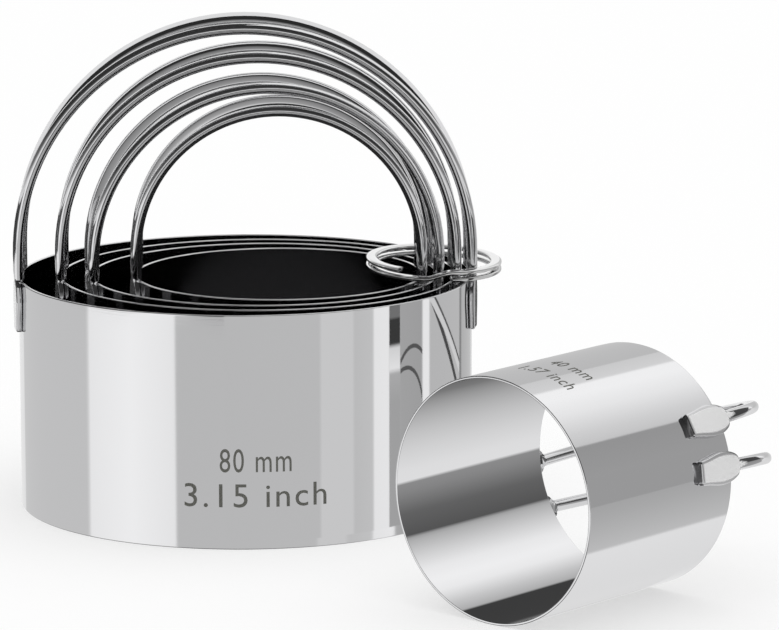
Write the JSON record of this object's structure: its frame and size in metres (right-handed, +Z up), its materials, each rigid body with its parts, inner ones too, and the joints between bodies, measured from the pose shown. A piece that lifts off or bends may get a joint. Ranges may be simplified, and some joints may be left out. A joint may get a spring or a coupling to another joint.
{
  "type": "biscuit cutter set",
  "caption": "Nest of round steel biscuit cutters with arched wire handles on a split ring, and a smaller cutter lying in front.",
  "frame": {"origin": "middle of the whole set's footprint, on the surface that it stands on", "axes": "+Z up, +X to the picture's right along the nested handles, +Y away from the viewer"},
  "size_m": [0.1275, 0.1464, 0.0861],
  "materials": {
    "band_steel": "mirror-polished stainless steel sheet",
    "wire_steel": "polished stainless steel wire",
    "ring_steel": "bright nickel-plated spring steel"
  },
  "bodies": {
    "cutter_80": {"band_80": "band_steel", "front_wire_80": "wire_steel", "rear_wire_80": "wire_steel"},
    "cutter_70": {"band_70": "band_steel", "front_wire_70": "wire_steel", "rear_wire_70": "wire_steel"},
    "cutter_60": {"band_60": "band_steel", "front_wire_60": "wire_steel", "rear_wire_60": "wire_steel"},
    "cutter_50": {"band_50": "band_steel", "front_wire_50": "wire_steel", "rear_wire_50": "wire_steel"},
    "cutter_40": {"band_40": "band_steel", "upper_wire_40": "wire_steel", "lower_wire_40": "wire_steel"},
    "ring": {"split_ring": "ring_steel"}
  },
  "joints": [
    {"name": "lift_60", "type": "slide", "parent": "cutter_50", "child": "cutter_60", "axis": [0, 0, 1], "range_m": [0, 0.0052]},
    {"name": "lift_70", "type": "slide", "parent": "cutter_60", "child": "cutter_70", "axis": [0, 0, 1], "range_m": [0, 0.0052]},
    {"name": "lift_80", "type": "slide", "parent": "cutter_70", "child": "cutter_80", "axis": [0, 0, 1], "range_m": [0, 0.0052]},
    {"name": "ring_turn", "type": "hinge", "parent": "cutter_80", "child": "ring", "pos_m": [0.01028, 0.03322, 0.0423], "axis": [0.0314, -0.0374, 0.9988], "continuous": true},
    {"name": "lift_40", "type": "slide", "parent": "cutter_50", "child": "cutter_40", "axis": [0, 0, 1], "range_m": [0, 0.045]}
  ]
}
